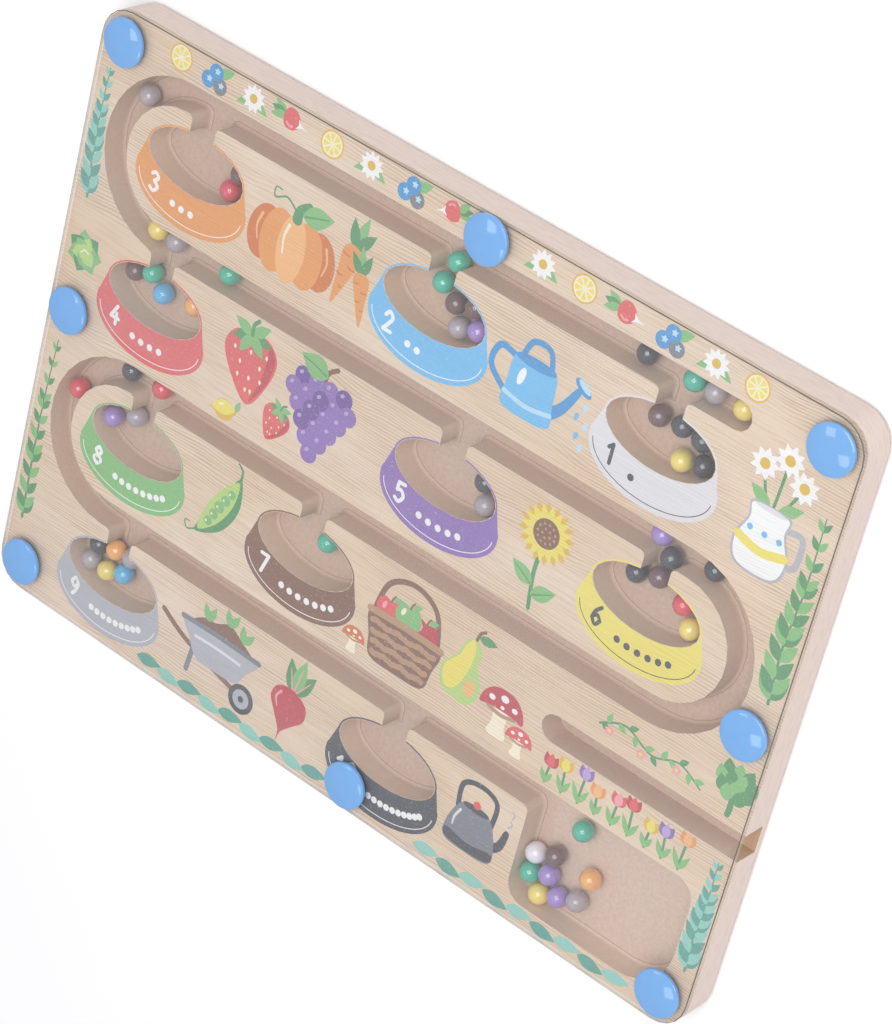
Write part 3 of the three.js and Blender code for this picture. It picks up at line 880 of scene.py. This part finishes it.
# %% Strawberry, grapes and lemon
def strawberry():
    yield "red", even_blob([(0, 10), (7, 10.6), (11.6, 4), (8, -6), (0, -15)])
    yield "wine", blob([(0.6, -14), (7.4, -6), (10.8, 4), (8, 9), (7, 2), (4.6, -6)]), 1
    for row, (up, spread) in enumerate(((5, 7), (0.4, 8), (-4.4, 5), (-9, 2))):
        for step in (-1, 0, 1) if row % 2 == 0 else (-0.55, 0.55):
            yield "cream", leaf(step * spread, up, 1.9, 1.1, 270), 2
    for tilt in (150, 195, 235, 305, 345, 30):
        under = tilt in (195, 345)
        yield "moss" if under else "leaf", leaf(0, 10.4, 9, 4.2, tilt), 2 if under else 3
    yield "moss", ribbon([(0, 10.4), (0.4, 14), (2.4, 16)], 1.5), 4


def grapes():
    yield "cocoa", ribbon([(0, 9), (0.6, 14), (4, 17)], 1.7)
    for row, count in enumerate((4, 5, 4, 3, 2, 1)):
        for step in range(count):
            across = (step - (count - 1) / 2) * 6.0
            up = 8.4 - row * 5.0
            ink = "violet" if (row + step) % 3 == 0 else "plum"
            yield ink, oval(across, up, 3.5, steps=24), (row + step) % 2
            yield "lilac", oval(across - 1.0, up + 1.1, 0.95, 0.7, 40, 16), 2
    yield "leaf", leaf(1, 12.4, 13, 8.6, 164), 3
    yield "moss", ribbon([(0, 12.8), (-5, 14.2), (-10.4, 15.2)], 0.7, 0.4), 4


def lemon():
    yield "honey", even_blob([(0, 7.4), (5, 6), (8, 2.4), (11, 0), (8, -2.6), (5, -6), (0, -7.4)])
    lit = [(-10, 0.6), (-5, 5.4), (0, 6.8), (5, 5.4), (9, 1.2), (5, -2), (0, -3.6), (-6, -2.4)]
    yield "butter", blob(lit), 1
    yield "cream", oval(-2.4, 3.4, 2.6, 0.9, 14), 2
    yield "leaf", leaf(9.6, 0.8, 9, 4.6, 62), 2


stamp(strawberry, "strawberry_1", -66, 18, 8, 0.95)
stamp(grapes, "grapes", -36, 16.7, size=0.96)
stamp(strawberry, "strawberry_2", -51.5, 4, -16, 0.5)
stamp(lemon, "lemon", -72, -2.2, 12, 0.5)


# %% Sunflower and pea pod
def sunflower():
    yield "moss", ribbon([(0, -6), (-1, -18), (0.8, -34)], 2.2, 1.8)
    yield "leaf", leaf(-0.6, -24, 13, 7, 150), 1
    yield "leaf", leaf(0, -28, 13, 7, 28), 1
    yield "moss", ribbon([(-1.4, -23.6), (-6, -21), (-10, -18.8)], 0.7, 0.3), 2
    yield "moss", ribbon([(1, -27.6), (6, -25), (10, -22.8)], 0.7, 0.3), 2
    yield from petals("honey", 0, 0, 13.6, 5.2, 16, 11, 1)
    yield from petals("butter", 0, 0, 12.6, 4.4, 16, 0, 2)
    yield "cocoa", oval(0, 0, 6.4), 3
    for ring, count in ((2.0, 5), (4.3, 11)):
        for step in range(count):
            seed = about(ring, ring, math.tau * step / count + ring)
            yield "tan", oval(*seed, 0.62, steps=12), 4


def pea_pod():
    yield "moss", even_blob([(0, 3.6), (10, 3.4), (19, 2), (10, -5.4), (0, -7.4)])
    yield "lime", even_blob([(0, 5.8), (9, 4.8), (17, 1.6), (9, -2.6), (0, -3.8)]), 1
    for step, across in enumerate((-9.6, -4.9, 0, 4.9, 9.6)):
        yield "leaf", oval(across, 0.9 - abs(step - 2) * 0.2, 2.6 - abs(step - 2) * 0.25), 2
        yield "cream", oval(across - 0.8, 1.7 - abs(step - 2) * 0.2, 0.55, steps=12), 3
    yield "moss", ribbon([(18, 1.8), (22, 4), (23, 7.5)], 1.5, 0.8), 1
    yield "moss", ribbon([(-18, 2), (-22, 5), (-20, 8), (-18.4, 6)], 0.8, 0.5), 1


stamp(sunflower, "sunflower", 56, 22, size=0.78)
stamp(pea_pod, "pea_pod", -64.5, -36, 62, 0.8)


# %% Basket, pear and mushrooms
def apple(x, y, ink, shade, layer=0):
    ring = even_blob([(0, 4.6), (3.4, 5.4), (6, 1), (3.4, -5), (0, -4.4)])
    yield ink, [spot + Vector((x, y)) for spot in ring], layer
    yield shade, oval(x - 2.6, y + 2, 0.9, 1.7, -20, 16), layer + 1
    yield "cocoa", ribbon([(x, y + 4.4), (x + 0.4, y + 6), (x + 1.2, y + 7.2)], 0.8), layer + 1
    yield "leaf", leaf(x + 0.6, y + 5.4, 4.6, 2.4, 24), layer + 1


def basket():
    yield "cocoa", ribbon([(-15, 2), (-11, 17), (0, 22), (11, 17), (15, 2)], 2.2)
    yield from apple(-8.4, 6.4, "red", "pink")
    yield from apple(8.2, 6.2, "wine", "pink")
    yield from apple(0, 8.2, "leaf", "cream", 1)
    yield "cocoa", even_blob([(0, 4.4), (16, 4), (14.6, -6), (12, -14), (0, -15)]), 2
    for row in range(4):
        up = 0.2 - row * 3.9
        pitch = (15.0 - row * 0.95) / 3
        for step in range(6):
            start = pitch * (step - 2.88)
            end = start + pitch * 0.72
            middle = ((start + end) / 2, up + 0.5 - (step + row) % 2)
            yield "tan", ribbon([(start, up), middle, (end, up)], 2.3), 3
    yield "tan", ribbon([(-16.4, 4), (0, 4.6), (16.4, 4)], 2.8), 4


def pear():
    yield "lime", even_blob([(0, 13), (3.6, 9.4), (4.8, 3), (9, -5), (6.4, -12.6), (0, -13.8)])
    lit = [(-0.6, 12), (-3, 8), (-4, 3), (-8, -5), (-5.4, -11.4), (-1, -10), (1.4, -2), (1.6, 7)]
    yield "butter", blob(lit), 1
    yield "apricot", oval(4.6, -6.4, 2.4, 3.2, 10), 2
    yield "cocoa", ribbon([(0, 12.4), (0.4, 15.6), (2, 17.4)], 1.2), 2
    yield "moss", leaf(0.6, 14, 8, 3.8, 12), 2


def mushroom(ink):
    yield "cream", even_blob([(3, 2), (3.2, -5), (4.6, -10), (0, -11)])
    yield "tan", ribbon([(-6.4, 0.4), (0, -0.8), (6.4, 0.4)], 1.6), 1
    yield ink, even_blob([(4, 9.8), (9, 6), (10.6, 0.2), (5, 1)]), 2
    for across, up, wide in ((-5.4, 4.6, 1.5), (0.4, 6.6, 1.9), (5.8, 4.2, 1.4), (0.2, 2.6, 1.0)):
        yield "white", oval(across, up, wide, wide * 0.8), 3


stamp(basket, "basket", 16, -40, size=0.9)
stamp(pear, "pear", 40.8, -36, -8, 0.9)
stamp(mushroom, "mushroom_1", 57.5, -43.5, size=0.82, ink="wine")
stamp(mushroom, "mushroom_2", 66.3, -49.4, size=0.5, ink="red")
stamp(mushroom, "mushroom_3", -2.4, -50.6, size=0.44, ink="rust")


# %% Flowers beside the pen slot
def tulip(x, y, tall, ink, shade, lean):
    head = (x + lean, y + tall)
    yield "moss", ribbon([(x, y), (x + lean * 0.3, y + tall * 0.5), head], 0.9)
    yield "leaf", leaf(x, y, tall * 0.72, 2.0, 118), 1
    yield "leaf", leaf(x, y, tall * 0.66, 2.0, 62), 1
    yield shade, leaf(head[0] - 0.5, head[1] - 1.2, 5.0, 3.0, 112), 1
    yield shade, leaf(head[0] + 0.5, head[1] - 1.2, 5.0, 3.0, 68), 1
    yield ink, leaf(head[0], head[1] - 1.4, 5.2, 3.2, 90), 2


def garland(points, leaves, flower):
    """A climbing stem with leaves on both sides and a few small blossoms."""
    yield "moss", ribbon(points, 0.8, 0.6)
    for step, spot, tilt in stations(points, leaves, 0.5):
        side = 1 if step % 2 else -1
        yield "leaf" if step % 3 else "moss", leaf(*spot, 3.9, 2.1, tilt + side * 48), 1
        if step % 4 == 1:
            bud = spot + about(2.6, 2.6, math.radians(tilt - side * 90))
            yield from petals(flower, *bud, 1.9, 1.5, 5, 18, 2)
            yield "butter", oval(*bud, 0.6, steps=14), 3


ROW = (("red", "wine"), ("butter", "honey"), ("lilac", "plum"), ("apricot", "orange"), ("pink", "red"))


def tulip_bed():
    for step in range(9):
        ink, shade = ROW[step % len(ROW)]
        yield from tulip(79 + step * 6.6, -56.2, 7.0 + 1.6 * (step % 3), ink, shade, 0.6 * (-1) ** step)


stamp(tulip_bed, "tulips")
climber = [(92, -26), (101, -22), (112, -26), (122, -23), (131, -27)]
stamp(garland, "garland_slot", points=climber, leaves=12, flower="pink")


# %% Wheelbarrow, beetroot and kettle
def wheelbarrow():
    yield "cocoa", ribbon([(-24, 3), (-12, -3), (12, -10)], 2.0)
    yield "slate", ribbon([(-9, -4), (-10, -13)], 2.0)
    yield "cocoa", blob([(-11, 5), (-7, 9), (-2, 9.6), (4, 12), (10, 9), (15, 5), (2, 2)])
    for across, up, tilts in ((-5, 8.6, (70, 115)), (4, 11.4, (60, 110)), (10.4, 8.6, (50, 100))):
        for tilt in tilts:
            yield "leaf", leaf(across, up, 6.6, 3.0, tilt), 1
    tub = [(-15, 5.4), (0, 5.8), (18, 5.4), (14, -2), (10.4, -7), (0, -7.6), (-7, -7), (-11.4, -1)]
    yield "stone", blob(tub), 2
    yield "slate", ribbon([(-15.6, 5.2), (0, 5.6), (18.6, 5.2)], 1.9), 3
    yield "pearl", ribbon([(-9, 0.6), (0, 1), (11, 0.6)], 1.1), 3
    yield "coal", oval(14.6, -11, 5.4), 3
    yield "stone", oval(14.6, -11, 3.5), 4
    yield "coal", oval(14.6, -11, 1.2), 5


def beetroot():
    for tilt, length in ((64, 15), (90, 17), (116, 15)):
        yield "leaf" if tilt == 90 else "moss", leaf(0, 5.6, length, 6.2, tilt), 1 if tilt == 90 else 0
        end = about(length * 0.75, length * 0.75, math.radians(tilt))
        yield "pink", ribbon([(0, 5), (end.x * 0.5, 5 + end.y * 0.5), (end.x, 5 + end.y)], 0.9, 0.4), 2
    root = [(0, 7.4), (-7, 5), (-8.6, -1), (-4, -7), (0, -12), (0.8, -17), (1.4, -12)]
    root += [(4.6, -7), (8.6, -1), (7, 5)]
    yield "wine", blob(root), 3
    yield "pink", ribbon([(-5, 3.4), (-6.2, 0), (-4.4, -3.4)], 1.2, 0.6), 4


def kettle():
    yield "coal", ribbon([(-8, 4), (-8, 14), (0, 17), (8, 14), (8, 4)], 2.2)
    yield "coal", ribbon([(7, -6), (13, -2), (15, 5)], 4.6, 2.6)
    yield "slate", even_blob([(0, 7), (7, 6), (11.4, -4), (10.6, -11.4), (0, -12.6)]), 1
    yield "coal", even_blob([(0, -8.6), (10.8, -7), (10.4, -11), (0, -12.2)]), 2
    yield "coal", oval(0, 6.6, 6.2, 1.5), 2
    yield "red", oval(0, 8.6, 1.7), 3
    yield "pearl", ribbon([(-6.4, 3), (-8.2, -1), (-8.4, -4.6)], 1.2, 0.7), 3
    for lift in (0, 4.4):
        steam = [(15 + lift * 0.2, 8 + lift), (16.4, 9.6 + lift), (15.4, 11 + lift)]
        yield "stone", ribbon(steam, 0.9, 0.6)


stamp(wheelbarrow, "wheelbarrow", -54, -85.5)
stamp(beetroot, "beetroot", -20.5, -87.8, -10, 0.88)
stamp(kettle, "kettle", 58.5, -86, size=0.86)

# %% [markdown]
# The margins carry smaller things: slices, berries, radishes and daisies along the top, ferns up the sides,
# and a row of leaves along the foot. One long border would do, but single motifs can be moved one by one
# until they stand clear of the studs.


# %% Fruit for the margins
def slice_of_lemon():
    yield "honey", oval(0, 0, 5)
    yield "cream", oval(0, 0, 4.3)
    for wedge in range(8):
        arc = [math.radians(wedge * 45 + lean) for lean in (-17, -9, 0, 9, 17)]
        yield "butter", [about(0.7, 0.7, arc[2])] + [about(3.7, 3.7, turn) for turn in arc]


def blueberries():
    yield "leaf", leaf(0.4, 1.4, 7.6, 3.8, 28)
    for ink, across, up in (("sea", -3, -1.4), ("slate", 2.2, -2), ("sea", -0.2, 2)):
        yield ink, oval(across, up, 2.9)
        yield from petals("mist", across + 0.4, up + 0.4, 1.3, 0.8, 5, 20)


def radish():
    for tilt in (66, 92, 118):
        yield "moss" if tilt == 92 else "leaf", leaf(0, 2.4, 6.6, 3.0, tilt)
    yield "red", even_blob([(0, 3.4), (3.2, 2.2), (3.6, -0.8), (1.4, -3.4)])
    yield "white", blob([(-1.8, -2.6), (0, -3.2), (1.8, -2.6), (0.5, -4.4), (0.2, -7), (-0.4, -4.4)])
    yield "pink", ribbon([(-2, 1.4), (-2.5, 0), (-2, -1.2)], 0.7)


print("fruit ready")


# %% Flowers and leaves for the margins
def daisy():
    for tilt in (208, 332):
        yield "leaf", leaf(0, 0, 8, 3.2, tilt)
    yield from petals("white", 0, 0, 5.2, 2.5, 11)
    yield "honey", oval(0, 0, 1.7)


def fern(points, longest, tones):
    """A frond: leaflets in pairs that shrink towards the tip."""
    ink, shade = tones
    yield shade, ribbon(points, 1.1, 0.4)
    pairs = 13
    for step, spot, tilt in stations(points, pairs, 0.6):
        length = longest * (1.05 - 0.65 * (step / pairs) ** 1.6)
        for side in (-1, 1):
            tone = ink if (step + (side > 0)) % 2 else shade
            yield tone, leaf(*spot, length, length * 0.44, tilt + side * 34)


def cabbage():
    for petal in range(7):
        yield "moss" if petal % 2 else "leaf", leaf(0, 0, 8.2, 7.4, petal * 360 / 7)
    for petal in range(6):
        yield "lime" if petal % 2 else "leaf", leaf(0, 0, 5.8, 5.6, petal * 60 + 20)
    yield "lime", oval(0, 0, 2.9)
    yield "cream", ribbon([(-1.6, -0.6), (0, 0.8), (1.7, 0.2)], 0.6)


def artichoke():
    yield "moss", ribbon([(0, -6), (0.3, -10), (0, -13)], 2.4)
    for row, (up, count, spread) in enumerate(((4, 3, 3.4), (0.6, 4, 3.4), (-3, 3, 4.2), (-5.4, 2, 4.4))):
        for step in range(count):
            across = (step - (count - 1) / 2) * spread
            ink = "leaf" if (row + step) % 2 else "moss"
            yield ink, leaf(across, up - 3, 7.2, 5.4, 90 - across * 5)


def foot_leaves(start, pitch, tones):
    for step in range(9):
        yield tones[step % 2], leaf(start + step * pitch, -105.4, 11, 4.6, 6 * (-1) ** step)


print("flowers and leaves ready")

# %% Margins
stamp(slice_of_lemon, "slice_1", -118, 102, 10, 0.94)
stamp(blueberries, "blueberries_1", -103, 101.6, size=0.98)
stamp(daisy, "daisy_1", -87, 102, size=0.92)
stamp(radish, "radish_1", -71, 102.4, 78, 0.98)
stamp(slice_of_lemon, "slice_2", -54, 101.8, 10, 0.94)
stamp(daisy, "daisy_2", -38, 102.2, size=0.92)
stamp(blueberries, "blueberries_2", -21, 101.6, size=0.98)
stamp(radish, "radish_2", -5.5, 102.4, -70, 0.9)
stamp(daisy, "daisy_3", 30, 102, size=0.92)
stamp(slice_of_lemon, "slice_3", 46, 101.8, 10, 0.94)
stamp(radish, "radish_3", 62, 102, 80, 0.98)
stamp(blueberries, "blueberries_3", 79, 101.6, size=0.98)
stamp(daisy, "daisy_4", 95, 102, size=0.92)
stamp(slice_of_lemon, "slice_4", 110, 101.8, 10, 0.9)

SEA = ("sea_leaf", "deep_leaf")
MEADOW = ("leaf", "moss")
frond = [(-144.6, 40), (-145.6, 56), (-145.8, 70), (-145.2, 86)]
stamp(fern, "fern_1", points=frond, longest=7.0, tones=SEA)
stamp(cabbage, "cabbage_1", -141, 21, size=0.95)
frond = [(-145.4, -84), (-145.8, -62), (-145.8, -38), (-144.6, -14)]
stamp(fern, "fern_2", points=frond, longest=7.0, tones=MEADOW)
frond = [(143.6, 12), (142.6, 32), (143.8, 52), (143.4, 76)]
stamp(fern, "fern_3", points=frond, longest=9.0, tones=MEADOW)
stamp(artichoke, "artichoke", 142, -18, size=0.86)
frond = [(144.6, -87), (144.2, -72), (144.8, -60), (144.4, -46)]
stamp(fern, "fern_4", points=frond, longest=7.4, tones=SEA)

stamp(foot_leaves, "foot_left", start=-85, pitch=9.4, tones=SEA[::-1])
stamp(foot_leaves, "foot_right", start=39, pitch=9.8, tones=SEA)

# %% [markdown]
# ## Floor, light and camera
# The toy lies on a plain pale floor in a bright white room. A broad soft lamp overhead and a bright sky
# leave hardly any shadow, and two smaller lamps draw the crisp glints on the studs and beads. None of them
# stands where the clear sheet would mirror it into the lens. The camera takes the photograph's slanted
# view, which shows the depth of the track.

# %% Floor
FLOOR_HALF = 3.0
FLOOR_HEIGHT = -0.4

floor_finish, tree, shader = finish_named("pale_floor", Roughness=0.7, Specular_IOR_Level=0.2)
tone = noise_at(tree, (3, 3, 3))
coloured(tree, shader, (251, 251, 252), (248, 248, 250), tone)
skin = bmesh.new()
bmesh.ops.create_grid(skin, x_segments=2, y_segments=2, size=FLOOR_HALF)
ground = bpy.data.meshes.new("floor")
skin.to_mesh(ground)
skin.free()
ground.materials.append(floor_finish)
floor = bpy.data.objects.new("floor", ground)
floor.location.z = FLOOR_HEIGHT * MM
bpy.context.scene.collection.objects.link(floor)
floor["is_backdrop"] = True
print("floor at", round(floor.location.z / MM, 2), "mm")

# %% Lights
scene = bpy.context.scene
scene.view_settings.view_transform = "Standard"
world = bpy.data.worlds.new("white room")
scene.world = world
world.use_nodes = True
sky = world.node_tree.nodes["Background"].inputs
sky["Color"].default_value = (1, 1, 1, 1)
sky["Strength"].default_value = 0.52


def lamp(name, place, size, power, turn=0.0):
    """A soft square lamp that points at the middle of the board."""
    light = bpy.data.lights.new(name, "AREA")
    light.size = size
    light.energy = power
    made = bpy.data.objects.new(name, light)
    made.location = place
    made.rotation_euler = Vector(place).to_track_quat("Z", "Y").to_euler()
    made.rotation_euler.rotate_axis("Z", math.radians(turn))
    scene.collection.objects.link(made)
    print("lamp", name, size, "m", power, "W")


lamp("overhead", (0.58, 0.5, 1.55), 1.2, 21.5)
lamp("glint_left", (-1.27, -0.43, 2.68), 0.52, 2.6)
lamp("glint_low", (-0.29, -1.36, 2.66), 0.52, 2.6, 32)

# %% Camera
RIGHT = Vector((0.7523, 0.2223, -0.6202))
UP = Vector((-0.4686, 0.8423, -0.2664))
BACK = Vector((0.4632, 0.4910, 0.7378))
CAMERA_PLACE = (0.54687, 0.56870, 0.85331)
FOCAL_LENGTH = 129.94
lens = bpy.data.cameras.new("camera")
lens.sensor_width = 36
lens.lens = FOCAL_LENGTH
lens.clip_start = 0.05
camera = bpy.data.objects.new("camera", lens)
turn = Matrix((RIGHT, UP, BACK)).transposed().to_4x4()
camera.matrix_world = Matrix.Translation(CAMERA_PLACE) @ turn
scene.collection.objects.link(camera)
scene.camera = camera
print("camera at", [round(value, 3) for value in camera.location])

# %% [markdown]
# ## Size
# The dressed toy has to keep the size of its solids. Both boxes are printed, so that they can be compared
# without opening the scene.

# %% Print the boxes
seen_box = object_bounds()
print("boxes in mm", [[round(value / MM, 2) for value in corner] for corner in (*CAD_BOX, *seen_box)])
